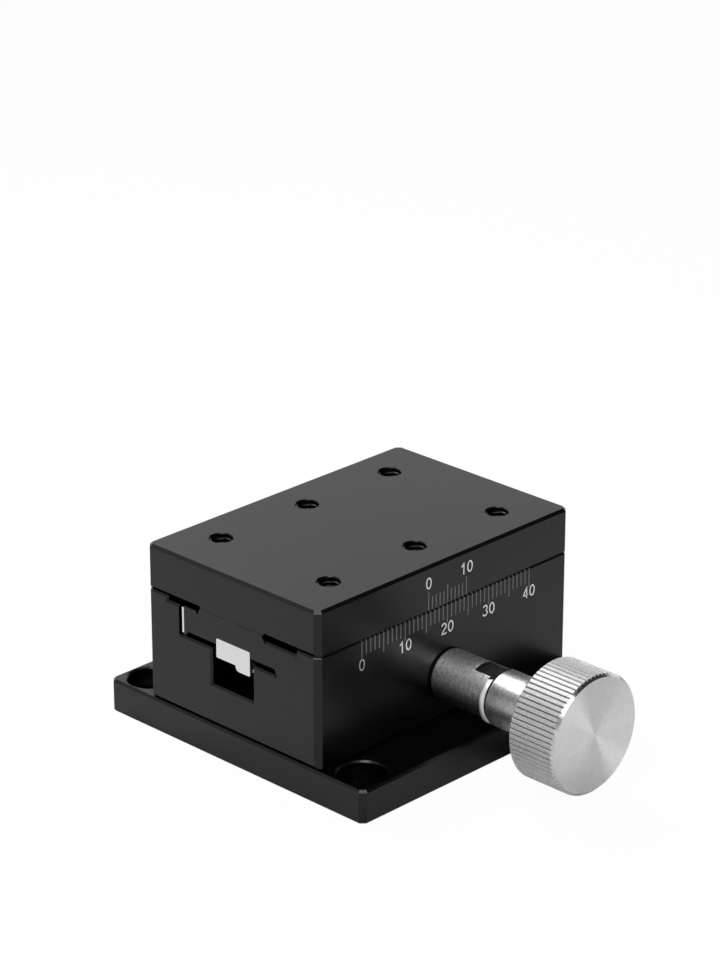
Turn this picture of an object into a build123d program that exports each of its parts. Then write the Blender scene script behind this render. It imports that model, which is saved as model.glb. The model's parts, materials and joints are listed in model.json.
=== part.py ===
from build123d import *
import math
import os

os.makedirs("parts", exist_ok=True)

# Hand-driven dovetail slide, in millimetres.
# X runs across the slide towards the knob, Y along the travel and Z up.
# The origin is the centre of the base plate's underside.

# Outline shared by the table, the guide block and the base plate
slide_width = 40.0
slide_length = 60.0

# Base plate
plate_flange = 10.0
plate_thickness = 6.0
plate_corner = 1.0
plate_edge = 0.4
plate_hole_margin = 5.0
plate_hole_diameter = 4.5
counterbore_diameter = 8.2
counterbore_depth = 4.3
counterbore_edge = 0.3

# Guide block
block_corner = 1.0
block_edge = 0.3
block_foot_edge = 0.8
opening_edge = 0.35
land_width = 5.0
land_step = 0.85
channel_gap_left = 1.2
channel_gap_right = 0.55
channel_gap_below = 4.3
pinion_floor = 1.35

# Slide table with its male dovetail
table_thickness = 8.0
table_corner = 1.0
table_top_edge = 0.5
table_bottom_edge = 0.2
table_foot_edge = 0.6
table_hole_pitch_x = 25.0
table_hole_pitch_y = 20.0
table_hole_diameter = 4.0
table_hole_edge = 0.15
dovetail_width = 20.6
dovetail_depth = 5.35
dovetail_angle = 60.0
dovetail_relief = 0.15
dovetail_foot_edge = 0.4
slot_floor_gap = 0.75
slide_clearance = 0.02

# Gib, with the flat steel strip that the adjusting screws press on
gib_thin_edge = 0.75
gib_corner = 0.6
gib_floor_gap = 0.4
gib_top_gap = 0.55
strip_thickness = 0.4
strip_inset = 0.3
strip_gap = 0.8
gib_screw_diameter = 3.0
gib_screw_sink = 0.8
gib_screw_socket = 1.5
gib_screw_margin = 6.0
gib_screw_count = 4

# Lock screw on the gib side, with its brass pad
lock_diameter = 4.0
lock_pad_diameter = 3.8
lock_pad_thickness = 1.5
lock_neck_diameter = 6.0
lock_neck_length = 1.0
lock_face_gap = 1.2
lock_head_diameter = 9.0
lock_head_length = 6.0
lock_head_edge = 0.5
lock_rib_count = 30
lock_rib_depth = 0.3

# Rack, in a groove under the dovetail
gear_module = 0.5
pressure_angle = 20.0
root_depth_in_modules = 1.25
rack_width = 7.85
rack_offset = 0.525
rack_groove_depth = 1.46
rack_flange_thickness = 3.42
rack_foot_width = 3.35
rack_foot_height = 0.96
rack_foot_radius = 0.85
rack_corner_radius = 0.3
rack_screw_diameter = 2.5
rack_screw_length = 8.0
rack_screw_head_diameter = 4.0
rack_screw_head_height = 1.7
rack_screw_socket = 1.3

# Travel stop: a pin in the channel that the rack screws' heads meet
travel = 40.0
stop_pin_diameter = 2.5
stop_pin_sink = 4.0
stop_pin_gap = 0.7
stop_gap = 0.05

# Pinion and its shaft
pinion_teeth = 20
pinion_width = 3.0
pinion_hub_diameter = 7.4
pinion_bore = 4.0
pinion_pocket_gap = 0.4
tooth_backlash = 0.05
flank_points = 5
shaft_diameter = 6.0
shaft_flat = 0.3
shaft_edge = 0.3

# Eccentric sleeve that carries the shaft and sets the depth of mesh
sleeve_diameter = 9.0
sleeve_eccentricity = 0.3
sleeve_inset = 1.0
sleeve_reach = 11.55
sleeve_flat_depth = 0.55
sleeve_flat_length = 3.65
sleeve_groove_width = 3.4
sleeve_groove_depth = 0.3
sleeve_edge = 0.2
sleeve_mouth_edge = 0.25
shaft_clearance = 0.03
spring_height = 0.5
spring_thickness = 0.25
spring_inset = 0.35
washer_overhang = 0.35
washer_thickness = 1.05
washer_edge = 0.15
sleeve_screw_diameter = 3.0
sleeve_screw_length = 5.0
sleeve_screw_socket = 1.5
sleeve_screw_margin = 6.0

# Knob
hub_diameter = 9.7
hub_length = 10.0
hub_edge = 0.3
hub_gap = 0.12
knob_diameter = 20.6
knob_thickness = 9.5
knob_edge = 0.5
knob_rib_count = 72
knob_rib_depth = 0.25
rib_angle = 70.0
knob_bore_depth = 15.8
knob_screw_diameter = 3.0
knob_screw_socket = 1.5
knob_screw_sink = 0.1
knob_screw_place = 5.2

# Screws that hold the block on the base plate
base_screw_diameter = 4.0
base_screw_head_diameter = 7.0
base_screw_head_height = 4.0
base_screw_head_gap = 0.25
base_screw_sink = 0.2
base_screw_grip = 7.0
base_screw_socket = 3.0
base_screw_margin_x = 6.0
base_screw_margin_y = 8.0

# Clearances shared by fixed pieces
thread_gap = 0.05
seat_gap = 0.02
tap_relief = 1.0

# Shares of a screw's own size, how far a cutting shape runs past the face that it opens, and the flare of
# a broken edge
screw_edge_share = 0.1
screw_socket_share = 0.4
overcut = 1.0
chamfer_angle = 45.0

# Gear sizes worked out from the module
pitch_radius = gear_module * pinion_teeth / 2
tip_radius = pitch_radius + gear_module
root_radius = pitch_radius - root_depth_in_modules * gear_module
rack_pitch = math.pi * gear_module

# Levels, from the base plate's underside up through the pinion and the rack to the table's top
block_bottom = plate_thickness
pocket_bottom = block_bottom + pinion_floor
shaft_height = pocket_bottom + pinion_pocket_gap + tip_radius
rack_pitch_level = shaft_height + pitch_radius
rack_tip_level = rack_pitch_level - gear_module
rack_root_level = rack_pitch_level + root_depth_in_modules * gear_module
channel_floor = rack_tip_level - channel_gap_below
flange_bottom = rack_tip_level + rack_foot_height
rack_top = flange_bottom + rack_flange_thickness
dovetail_bottom = rack_top - rack_groove_depth
slot_floor = dovetail_bottom - slot_floor_gap
table_bottom = dovetail_bottom + dovetail_depth
table_top = table_bottom + table_thickness
block_top = table_bottom - slide_clearance
block_height = block_top - block_bottom
step_level = block_top - land_step

# Hole grids and screw rows, set in from the edges
plate_width = slide_width + 2 * plate_flange
plate_hole_pitch_x = plate_width - 2 * plate_hole_margin
plate_hole_pitch_y = slide_length - 2 * plate_hole_margin
base_screw_pitch_x = slide_width - 2 * base_screw_margin_x
base_screw_pitch_y = slide_length - 2 * base_screw_margin_y
gib_screw_pitch = (slide_length - 2 * gib_screw_margin) / (gib_screw_count - 1)

# Places across the slide
half_dovetail = dovetail_width / 2
gib_back = -half_dovetail - gib_thin_edge
strip_back = gib_back - strip_thickness
slot_wall = strip_back - strip_gap
rack_left = rack_offset - rack_width / 2
rack_right = rack_offset + rack_width / 2
foot_left = rack_right - rack_foot_width
flange_middle = (rack_left + foot_left) / 2
channel_left = rack_left - channel_gap_left
channel_right = rack_right + channel_gap_right
block_side = slide_width / 2
sleeve_screw_x = block_side - sleeve_screw_margin
sleeve_inner_end = channel_right + sleeve_inset
sleeve_outer_end = block_side + sleeve_reach
washer_end = sleeve_outer_end + washer_thickness
hub_start = washer_end + hub_gap
knob_back = hub_start + hub_length
knob_front = knob_back + knob_thickness
shaft_end = hub_start + knob_bore_depth - seat_gap
pinion_start = rack_right - rack_foot_width / 2 - pinion_width / 2
pinion_hub_end = sleeve_inner_end - spring_height - slide_clearance
gib_bottom = slot_floor + gib_floor_gap
gib_top = block_top - gib_top_gap
gib_screw_level = (gib_bottom + gib_top) / 2
rack_screw_y = travel / 2 + stop_gap + (rack_screw_head_diameter + stop_pin_diameter) / 2


def flank_x(level, offset=0.0):
    """X of the dovetail's right flank at a height, moved outwards square to the flank by an offset."""
    slope = math.radians(dovetail_angle)
    return half_dovetail - (level - dovetail_bottom) / math.tan(slope) + offset / math.sin(slope)


def bar(*corners, length):
    """Straight bar along Y, centred on the slide, from the (X, Z) corners of its end."""
    end = Plane.XZ * make_face(Polyline(*corners, close=True))
    return extrude(end, length / 2, both=True)


def turned(*corners):
    """Turned piece about the X axis from the (x, radius) corners of its half section."""
    return revolve(Plane.XZ * make_face(Polyline(*corners, close=True)), axis=Axis.X)


def rod_x(radius, x_from, x_to):
    """Plain rod along X on the X axis."""
    rod = Cylinder(radius, x_to - x_from, align=(Align.CENTER, Align.CENTER, Align.MIN))
    return Location((x_from, 0, 0), (0, 90, 0)) * rod


def rod_z(radius, z_from, z_to):
    """Plain rod along Z on the Z axis."""
    return Pos(0, 0, z_from) * Cylinder(radius, z_to - z_from, align=(Align.CENTER, Align.CENTER, Align.MIN))


def slab(width, length, thickness, corner, top_edge, bottom_edge, level):
    """Rectangular slab standing on a level, with chamfered corners and edges."""
    outline = chamfer(Rectangle(width, length).vertices(), corner)
    body = extrude(outline, thickness)
    body = chamfer(body.edges().group_by(Axis.Z)[-1], top_edge)
    body = chamfer(body.edges().group_by(Axis.Z)[0], bottom_edge)
    return Pos(0, 0, level) * body


def lower_end_edges(level, edge, x_from, x_to):
    """Wedges that break the lower end edges of a piece standing at a level, over a range of X."""
    inner = slide_length / 2 - edge
    outer = slide_length / 2 + overcut
    end = make_face(Polyline((inner, level), (outer, level), (outer, level + edge + overcut), close=True))
    wedge = Pos(x_from, 0, 0) * extrude(Plane.YZ * end, x_to - x_from)
    return [wedge, mirror(wedge, about=Plane.XZ)]


def set_screw(diameter, length, socket):
    """Headless screw standing on the origin, with its hexagon socket on top."""
    screw = chamfer(rod_z(diameter / 2, 0, length).edges(), screw_edge_share * diameter)
    recess = extrude(RegularPolygon(socket / 2, 6, major_radius=False), -screw_socket_share * length)
    return screw - Pos(0, 0, length) * recess


def cap_screw(diameter, length, head_diameter, head_height, socket):
    """Cap screw along +Z with its head under the origin and its shank above it."""
    shank = rod_z(diameter / 2, 0, length)
    shank = chamfer(shank.edges().group_by(Axis.Z)[-1], screw_edge_share * diameter)
    head = rod_z(head_diameter / 2, -head_height, 0)
    head = chamfer(head.edges().group_by(Axis.Z)[0], screw_edge_share * head_height)
    recess = extrude(RegularPolygon(socket / 2, 6, major_radius=False), head_height / 2)
    return head + shank - Pos(0, 0, -head_height) * recess


def ribbed_disc(diameter, thickness, edge, rib_count, rib_depth):
    """Disc along X from the origin, with straight V grooves pressed into its rim."""
    radius = diameter / 2
    disc = turned((0, 0), (0, radius - edge), (edge, radius), (thickness - edge, radius),
                  (thickness, radius - edge), (thickness, 0))
    half_mouth = (rib_depth + edge) * math.tan(math.radians(rib_angle / 2))
    groove = make_face(Polyline((radius - rib_depth, 0), (radius + edge, half_mouth),
                                (radius + edge, -half_mouth), close=True))
    grooves = [extrude(Plane.YZ * turn * groove, thickness) for turn in PolarLocations(0, rib_count)]
    return disc - grooves


def make_base_plate():
    plate = slab(plate_width, slide_length, plate_thickness, plate_corner, plate_edge, plate_edge, 0)
    seat = plate_thickness - counterbore_depth
    mount = rod_z(plate_hole_diameter / 2, 0, plate_thickness)
    mount += rod_z(counterbore_diameter / 2, seat, plate_thickness)
    mount += Pos(0, 0, plate_thickness - counterbore_edge / 2) * Cone(
        counterbore_diameter / 2, counterbore_diameter / 2 + counterbore_edge, counterbore_edge)
    plate -= [place * mount for place in GridLocations(plate_hole_pitch_x, plate_hole_pitch_y, 2, 2)]
    head_room = base_screw_sink + base_screw_head_height
    hole = rod_z(base_screw_head_diameter / 2 + base_screw_head_gap, 0, head_room)
    hole += rod_z(base_screw_diameter / 2 + base_screw_head_gap, 0, plate_thickness)
    plate -= [place * hole for place in base_screw_places()]
    return plate


def base_screw_places():
    return GridLocations(base_screw_pitch_x, base_screw_pitch_y, 2, 2)


def make_base_screws():
    seat = base_screw_sink + base_screw_head_height
    length = plate_thickness - seat + base_screw_grip
    screw = cap_screw(base_screw_diameter, length, base_screw_head_diameter, base_screw_head_height,
                      base_screw_socket)
    return [place * Pos(0, 0, seat) * screw for place in base_screw_places()]


def gib_screw_places():
    """Places along the travel of the gib's adjusting screws, at their level."""
    return [Pos(0, (i - (gib_screw_count - 1) / 2) * gib_screw_pitch, gib_screw_level)
            for i in range(gib_screw_count)]


def opening_face(side_gap):
    """Face of the slot and the channel, with the slot's two sides moved outwards by a gap."""
    over = block_top + overcut
    land_edge = block_side - land_width
    wall = slot_wall - side_gap
    opening = make_face(Polyline((-land_edge, step_level), (land_edge, step_level), (land_edge, over),
                                 (-land_edge, over), close=True))
    opening += make_face(Polyline((wall, slot_floor), (flank_x(slot_floor, side_gap), slot_floor),
                                  (flank_x(over, side_gap), over), (wall, over), close=True))
    opening += make_face(Polyline((channel_left, channel_floor), (channel_right, channel_floor),
                                  (channel_right, over), (channel_left, over), close=True))
    return opening


def make_guide_block():
    block = slab(slide_width, slide_length, block_height, block_corner, block_edge, block_edge,
                 block_bottom)
    over = block_top + overcut
    block -= extrude(Plane.XZ * opening_face(slide_clearance), slide_length / 2 + overcut, both=True)
    mouth_plane = Plane.XZ.offset(slide_length / 2 - opening_edge)
    mouth_face = mouth_plane * opening_face(slide_clearance - opening_edge)
    mouth = extrude(mouth_face, opening_edge + overcut, taper=-chamfer_angle)
    block -= [mouth, mirror(mouth, about=Plane.XZ)]
    block -= lower_end_edges(block_bottom, block_foot_edge, -block_side, block_side)
    block -= make_pinion_pocket()
    bore = sleeve_diameter / 2 + seat_gap
    sleeve_hole = rod_x(bore, channel_right - overcut, block_side + overcut)
    sleeve_mouth = Cone(bore, bore + sleeve_mouth_edge, sleeve_mouth_edge)
    sleeve_hole += Location((block_side, 0, 0), (0, 90, 0)) * sleeve_mouth
    block -= Pos(0, sleeve_eccentricity, shaft_height) * sleeve_hole
    screw_hole = rod_z(sleeve_screw_diameter / 2 + thread_gap, shaft_height, over)
    block -= Pos(sleeve_screw_x, sleeve_eccentricity, 0) * screw_hole
    stop_hole = rod_z(stop_pin_diameter / 2 + seat_gap, channel_floor - stop_pin_sink,
                      channel_floor + overcut)
    block -= Pos(flange_middle, 0, 0) * stop_hole
    tapped = rod_z(base_screw_diameter / 2 + thread_gap, block_bottom - overcut,
                   block_bottom + base_screw_grip + tap_relief)
    block -= [place * tapped for place in base_screw_places()]
    gib_hole = rod_x(gib_screw_diameter / 2 + thread_gap, -block_side - overcut, slot_wall + overcut)
    block -= [place * gib_hole for place in gib_screw_places()]
    lock_hole = rod_x(lock_diameter / 2 + thread_gap, -block_side - overcut, slot_wall + overcut)
    return block - Pos(0, 0, gib_screw_level) * lock_hole


def make_pinion_pocket():
    """Slot milled down into the channel floor, with round ends, where the pinion turns."""
    left = pinion_start - pinion_pocket_gap
    width = channel_right - left
    reach = 2 * (tip_radius + pinion_pocket_gap) + width
    outline = SlotOverall(reach, width, rotation=90)
    pocket = extrude(outline, channel_floor - pocket_bottom + overcut)
    return Pos(left + width / 2, 0, pocket_bottom) * pocket


def make_slide_table():
    table = slab(slide_width, slide_length, table_thickness, table_corner, table_top_edge,
                 table_bottom_edge, table_bottom)
    root = table_bottom + dovetail_relief
    inner = flank_x(root)
    outer = inner + 2 * dovetail_relief
    for side in (-1, 1):
        table -= bar((side * inner, table_bottom), (side * outer, table_bottom), (side * outer, root),
                     (side * inner, root), length=slide_length)
    table -= lower_end_edges(table_bottom, table_foot_edge, inner + table_foot_edge, block_side)
    table -= lower_end_edges(table_bottom, table_foot_edge, -block_side, -inner)
    table += bar((-half_dovetail, dovetail_bottom), (half_dovetail, dovetail_bottom), (inner, root),
                 (-inner, root), length=slide_length)
    groove_left = rack_left - seat_gap
    groove_right = rack_right + seat_gap
    under = dovetail_bottom - overcut
    table -= bar((groove_left, under), (groove_right, under), (groove_right, rack_top),
                 (groove_left, rack_top), length=slide_length + 2 * overcut)
    table -= lower_end_edges(dovetail_bottom, dovetail_foot_edge, -half_dovetail, half_dovetail)
    hole = rod_z(table_hole_diameter / 2, table_bottom - overcut, table_top + overcut)
    hole += Pos(0, 0, table_top - table_hole_edge / 2) * Cone(
        table_hole_diameter / 2, table_hole_diameter / 2 + table_hole_edge, table_hole_edge)
    table -= [place * hole for place in GridLocations(table_hole_pitch_x, table_hole_pitch_y, 2, 3)]
    tapped = rod_z(rack_screw_diameter / 2 + thread_gap, rack_top - overcut,
                   flange_bottom + rack_screw_length + tap_relief)
    return table - [place * tapped for place in rack_screw_places()]


def rack_screw_places():
    return [Pos(flange_middle, side * rack_screw_y, 0) for side in (-1, 1)]


def make_rack():
    """L-shaped bar with straight-sided teeth in its foot, one of them at the middle of its length."""
    rack = bar((rack_left, rack_top), (rack_right, rack_top), (rack_right, rack_tip_level),
               (foot_left, rack_tip_level), (foot_left, flange_bottom), (rack_left, flange_bottom),
               length=slide_length)
    foot_edges = rack.edges().filter_by(Axis.Y).group_by(Axis.Z)[0].sort_by(Axis.X)
    rack = fillet(foot_edges[0], rack_foot_radius)
    corners = rack.edges().filter_by(Axis.Y).group_by(Axis.Z)
    rack = fillet(corners[-1] + corners[0].sort_by(Axis.X)[-1:], rack_corner_radius)
    slope = math.tan(math.radians(pressure_angle))
    under = rack_tip_level - overcut
    half_mouth = rack_pitch / 4 + (rack_pitch_level - under) * slope
    half_root = rack_pitch / 4 - (rack_root_level - rack_pitch_level) * slope
    gap = make_face(Polyline((-half_mouth, under), (half_mouth, under), (half_root, rack_root_level),
                             (-half_root, rack_root_level), close=True))
    gap_count = 2 * round(slide_length / 2 / rack_pitch)
    places = Plane.YZ.offset(foot_left) * GridLocations(rack_pitch, 0, gap_count, 1)
    rack -= [extrude(place * gap, rack_foot_width + overcut) for place in places]
    hole = rod_z(rack_screw_diameter / 2 + thread_gap, flange_bottom - overcut, rack_top + overcut)
    return rack - [place * hole for place in rack_screw_places()]


def make_rack_screws():
    screw = cap_screw(rack_screw_diameter, rack_screw_length, rack_screw_head_diameter,
                      rack_screw_head_height, rack_screw_socket)
    return [place * Pos(0, 0, flange_bottom) * screw for place in rack_screw_places()]


def make_stop_pin():
    pin = rod_z(stop_pin_diameter / 2, channel_floor - stop_pin_sink, flange_bottom - stop_pin_gap)
    return Pos(flange_middle, 0, 0) * chamfer(pin.edges(), stop_pin_diameter / 10)


def make_gib():
    shoulder = gib_top - gib_corner
    return bar((gib_back, gib_bottom), (-flank_x(gib_bottom, slide_clearance), gib_bottom),
               (-flank_x(shoulder, slide_clearance), shoulder),
               (-flank_x(gib_top, slide_clearance) - gib_corner, gib_top), (gib_back, gib_top),
               length=slide_length)


def make_gib_strip():
    bottom = gib_bottom + strip_inset
    top = gib_top - strip_inset
    return bar((strip_back, bottom), (gib_back, bottom), (gib_back, top), (strip_back, top),
               length=slide_length)


def make_gib_screws():
    length = block_side - gib_screw_sink + strip_back
    screw = set_screw(gib_screw_diameter, length, gib_screw_socket)
    return [place * Location((strip_back, 0, 0), (0, -90, 0)) * screw for place in gib_screw_places()]


def make_lock_pad():
    pad = rod_x(lock_pad_diameter / 2, strip_back - lock_pad_thickness, strip_back)
    return Pos(0, 0, gib_screw_level) * pad


def make_lock_screw():
    tip = strip_back - lock_pad_thickness
    neck = -block_side - lock_face_gap
    head = neck - lock_neck_length
    radius = lock_diameter / 2
    shank = turned((tip, 0), (tip, radius - lock_head_edge), (tip - lock_head_edge, radius), (neck, radius),
                   (neck, lock_neck_diameter / 2), (head, lock_neck_diameter / 2), (head, 0))
    grip = ribbed_disc(lock_head_diameter, lock_head_length, lock_head_edge, lock_rib_count, lock_rib_depth)
    return Pos(0, 0, gib_screw_level) * (shank + Pos(head - lock_head_length, 0, 0) * grip)


def involute(angle):
    return math.tan(angle) - angle


def make_pinion():
    """Involute pinion: a turned blank with one tooth space repeated around it."""
    pressure = math.radians(pressure_angle)
    base_radius = pitch_radius * math.cos(pressure)
    middle = math.pi / pinion_teeth
    half_tooth = middle / 2 - tooth_backlash / 2 / pitch_radius + involute(pressure)
    outer = tip_radius + gear_module / 2
    flank = []
    for i in range(flank_points):
        radius = base_radius + (outer - base_radius) * i / (flank_points - 1)
        angle = middle - half_tooth + involute(math.acos(base_radius / radius))
        flank.append((radius * math.cos(angle), radius * math.sin(angle)))
    root_angle = middle - half_tooth
    root = (root_radius * math.cos(root_angle), root_radius * math.sin(root_angle))
    mirrored = [(x, -y) for x, y in flank]
    edges = Line(root, flank[0]) + Spline(*flank) + Line(flank[-1], mirrored[-1]) + Spline(*mirrored)
    edges += Line(mirrored[0], (root[0], -root[1]))
    edges += ThreePointArc((root[0], -root[1]), (root_radius, 0), root)
    space = make_face(edges)
    bore = pinion_bore / 2
    hub = pinion_hub_diameter / 2
    teeth_end = pinion_start + pinion_width
    blank = turned((pinion_start, bore), (pinion_start, tip_radius), (teeth_end, tip_radius),
                   (teeth_end, hub), (pinion_hub_end, hub), (pinion_hub_end, bore))
    at_face = Plane.YZ.offset(pinion_start)
    spaces = [extrude(at_face * turn * space, pinion_width) for turn in PolarLocations(0, pinion_teeth)]
    return Pos(0, 0, shaft_height) * (blank - spaces)


def make_pinion_shaft():
    journal = pinion_bore / 2 - seat_gap
    radius = shaft_diameter / 2
    shaft = turned((pinion_start, 0), (pinion_start, journal - shaft_edge),
                   (pinion_start + shaft_edge, journal), (pinion_hub_end, journal), (pinion_hub_end, radius),
                   (shaft_end - shaft_edge, radius), (shaft_end, radius - shaft_edge), (shaft_end, 0))
    flat = Box(2 * knob_screw_diameter, shaft_diameter, shaft_diameter,
               align=(Align.CENTER, Align.MIN, Align.CENTER))
    flat_middle = hub_start + knob_screw_place
    return Pos(0, 0, shaft_height) * (shaft - Pos(flat_middle, radius - shaft_flat, 0) * flat)


def make_pinion_sleeve():
    radius = sleeve_diameter / 2
    sleeve = turned((sleeve_inner_end, 0), (sleeve_inner_end, radius - sleeve_edge),
                    (sleeve_inner_end + sleeve_edge, radius), (sleeve_outer_end - sleeve_edge, radius),
                    (sleeve_outer_end, radius - sleeve_edge), (sleeve_outer_end, 0))
    groove_from = sleeve_screw_x - sleeve_groove_width / 2
    ring = rod_x(radius + overcut, groove_from, groove_from + sleeve_groove_width)
    ring -= rod_x(radius - sleeve_groove_depth, groove_from, groove_from + sleeve_groove_width)
    sleeve -= ring
    flat = Box(sleeve_flat_length, 2 * sleeve_diameter, radius, align=(Align.MAX, Align.CENTER, Align.MIN))
    flat = Pos(0, 0, radius - sleeve_flat_depth) * flat
    for turn in (0, 180):
        sleeve -= Location((sleeve_outer_end, 0, 0), (turn, 0, 0)) * flat
    bore = rod_x(shaft_diameter / 2 + shaft_clearance, sleeve_inner_end - overcut,
                 sleeve_outer_end + overcut)
    return Pos(0, 0, shaft_height) * (Pos(0, sleeve_eccentricity, 0) * sleeve - bore)


def make_sleeve_screw():
    bottom = shaft_height + sleeve_diameter / 2 - sleeve_groove_depth
    screw = set_screw(sleeve_screw_diameter, sleeve_screw_length, sleeve_screw_socket)
    return Pos(sleeve_screw_x, sleeve_eccentricity, bottom) * screw


def make_disc_spring():
    """Shallow cone washer that takes up the end play between the pinion and the sleeve."""
    inner = shaft_diameter / 2 + thread_gap
    outer = sleeve_diameter / 2 - spring_inset
    start = sleeve_inner_end - spring_height
    end = sleeve_inner_end
    spring = turned((start, inner), (end - spring_thickness, outer), (end, outer),
                    (start + spring_thickness, inner))
    return Pos(0, 0, shaft_height) * spring


def make_thrust_washer():
    bore = shaft_diameter / 2 + shaft_clearance
    radius = sleeve_diameter / 2 + washer_overhang
    washer = turned((sleeve_outer_end, bore), (sleeve_outer_end, radius - washer_edge),
                    (sleeve_outer_end + washer_edge, radius), (washer_end - washer_edge, radius),
                    (washer_end, radius - washer_edge), (washer_end, bore))
    return Pos(0, 0, shaft_height) * washer


def make_knob():
    radius = hub_diameter / 2
    bore = shaft_diameter / 2 + seat_gap
    bore_end = hub_start + knob_bore_depth
    hub = turned((hub_start, 0), (hub_start, radius - hub_edge), (hub_start + hub_edge, radius),
                 (knob_back, radius), (knob_back, 0))
    head = ribbed_disc(knob_diameter, knob_thickness, knob_edge, knob_rib_count, knob_rib_depth)
    knob = hub + Pos(knob_back, 0, 0) * head - rod_x(bore, hub_start - overcut, bore_end)
    tapped = rod_z(knob_screw_diameter / 2 + thread_gap, 0, radius + overcut)
    knob -= Pos(hub_start + knob_screw_place, 0, 0) * Rot(-90, 0, 0) * tapped
    return Pos(0, 0, shaft_height) * knob


def make_knob_screw():
    seat = shaft_diameter / 2 - shaft_flat
    length = hub_diameter / 2 - knob_screw_sink - seat
    screw = set_screw(knob_screw_diameter, length, knob_screw_socket)
    return Location((hub_start + knob_screw_place, seat, shaft_height), (-90, 0, 0)) * screw


def main():
    pieces = {
        "base_plate": make_base_plate(),
        "base_screws": make_base_screws(),
        "guide_block": make_guide_block(),
        "stop_pin": make_stop_pin(),
        "slide_table": make_slide_table(),
        "rack": make_rack(),
        "rack_screws": make_rack_screws(),
        "gib": make_gib(),
        "gib_strip": make_gib_strip(),
        "gib_screws": make_gib_screws(),
        "lock_pad": make_lock_pad(),
        "lock_screw": make_lock_screw(),
        "pinion": make_pinion(),
        "pinion_shaft": make_pinion_shaft(),
        "pinion_sleeve": make_pinion_sleeve(),
        "sleeve_screw": make_sleeve_screw(),
        "disc_spring": make_disc_spring(),
        "thrust_washer": make_thrust_washer(),
        "knob": make_knob(),
        "knob_screw": make_knob_screw(),
    }
    for name, piece in pieces.items():
        solids = ShapeList(piece).solids() if isinstance(piece, list) else piece.solids()
        shape = solids[0] if len(solids) == 1 else Compound(children=solids)
        shape.label = name
        export_step(shape, f"parts/{name}.step")
        print(name, len(solids), round(sum(solid.volume for solid in solids), 2))


main()
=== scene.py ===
# %% [markdown]
# # Dressing a dovetail slide
# The real object is a hand-driven positioning slide. A square base plate carries a guide block with
# a dovetail slot, a table travels in the slot, and a ribbed knob drives it through a pinion and a
# rack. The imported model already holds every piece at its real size, and the knob's ribs too.
# Blender adds what the model leaves out: the finish of each surface, the engraved scales, the
# threads in the tapped holes and the rounded shoulder of the thrust washer.

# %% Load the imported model
import json
import math

import bmesh
import bpy
from mathutils import Matrix, Vector


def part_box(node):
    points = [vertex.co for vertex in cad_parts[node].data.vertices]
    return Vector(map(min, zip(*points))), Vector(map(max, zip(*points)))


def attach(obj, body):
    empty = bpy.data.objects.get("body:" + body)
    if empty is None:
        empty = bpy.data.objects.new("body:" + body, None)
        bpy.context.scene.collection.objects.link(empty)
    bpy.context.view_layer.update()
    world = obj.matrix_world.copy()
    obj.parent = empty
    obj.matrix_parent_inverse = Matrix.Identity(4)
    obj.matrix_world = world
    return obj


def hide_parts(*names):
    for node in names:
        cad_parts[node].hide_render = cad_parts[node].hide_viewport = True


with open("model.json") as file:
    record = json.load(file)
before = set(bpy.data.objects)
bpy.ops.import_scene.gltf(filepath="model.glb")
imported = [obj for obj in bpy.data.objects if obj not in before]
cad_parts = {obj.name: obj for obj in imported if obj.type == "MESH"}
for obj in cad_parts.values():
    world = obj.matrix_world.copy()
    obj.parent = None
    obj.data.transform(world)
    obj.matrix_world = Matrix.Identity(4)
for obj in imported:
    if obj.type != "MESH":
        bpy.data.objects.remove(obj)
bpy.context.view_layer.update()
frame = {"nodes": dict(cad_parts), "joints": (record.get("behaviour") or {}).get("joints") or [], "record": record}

mm = 0.001


def in_mm(places):
    return [round(place / mm, 2) for place in places]


# %% [markdown]
# ## Places
# Nothing here is placed by eye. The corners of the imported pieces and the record's joints say where
# the faces and axes are, so the marks and the threads stay on their faces if the model changes.

# %% Read where the pieces are
def axis_of(low, high):
    """Place of the axis along X through the middle of a box."""
    return Vector((0, (low.y + high.y) / 2, (low.z + high.z) / 2))


block_low, block_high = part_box("guide_block")
table_low, table_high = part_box("slide_table")
knob_low, knob_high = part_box("knob")
sleeve_low, sleeve_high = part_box("pinion_sleeve")
joints = {joint["name"]: joint for joint in frame["joints"]}
shaft_axis = Vector((0, 0, joints["knob_turn"]["pos_m"][2]))
lock_axis = Vector((0, 0, joints["lock_turn"]["pos_m"][2]))
sleeve_axis = axis_of(sleeve_low, sleeve_high)
print("block", in_mm(block_high - block_low), "mm, table", in_mm(table_high - table_low), "mm")
print("shaft axis", in_mm(shaft_axis), "mm, sleeve axis", in_mm(sleeve_axis), "mm")

# %% [markdown]
# ## Camera
# The photograph was taken from the front right and a little above, with a long lens. The camera
# could be aimed with a constraint, but a matrix built from its three own axes is exact and leaves
# nothing live.

# %% Place the camera
camera_azimuth = math.radians(44.40)
camera_elevation = math.radians(22.54)
camera_distance = 592.54 * mm
camera_target = Vector((-9.22, 9.38, 36.58)) * mm
camera_lens = 131.09

to_camera = Vector((math.sin(camera_azimuth) * math.cos(camera_elevation),
                    -math.cos(camera_azimuth) * math.cos(camera_elevation),
                    math.sin(camera_elevation)))
to_side = Vector((math.cos(camera_azimuth), math.sin(camera_azimuth), 0))

camera = bpy.data.objects.new("photo_camera", bpy.data.cameras.new("photo_camera"))
camera.data.lens = camera_lens
turn = Matrix((to_side, to_camera.cross(to_side), to_camera)).transposed().to_4x4()
camera.matrix_world = Matrix.Translation(camera_target + to_camera * camera_distance) @ turn
bpy.context.scene.collection.objects.link(camera)
bpy.context.scene.camera = camera
print("camera at", in_mm(camera.location), "mm")

# %% [markdown]
# ## A short way to write node trees
# Materials and Geometry Nodes are both made of nodes and wires. A `Wire` is an output socket that
# can be used in sums, so `1 - mask` adds a Math node by itself. A `Board` is the tree that is being
# written, and its `node` method sets a node's settings first and then its sockets.

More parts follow.
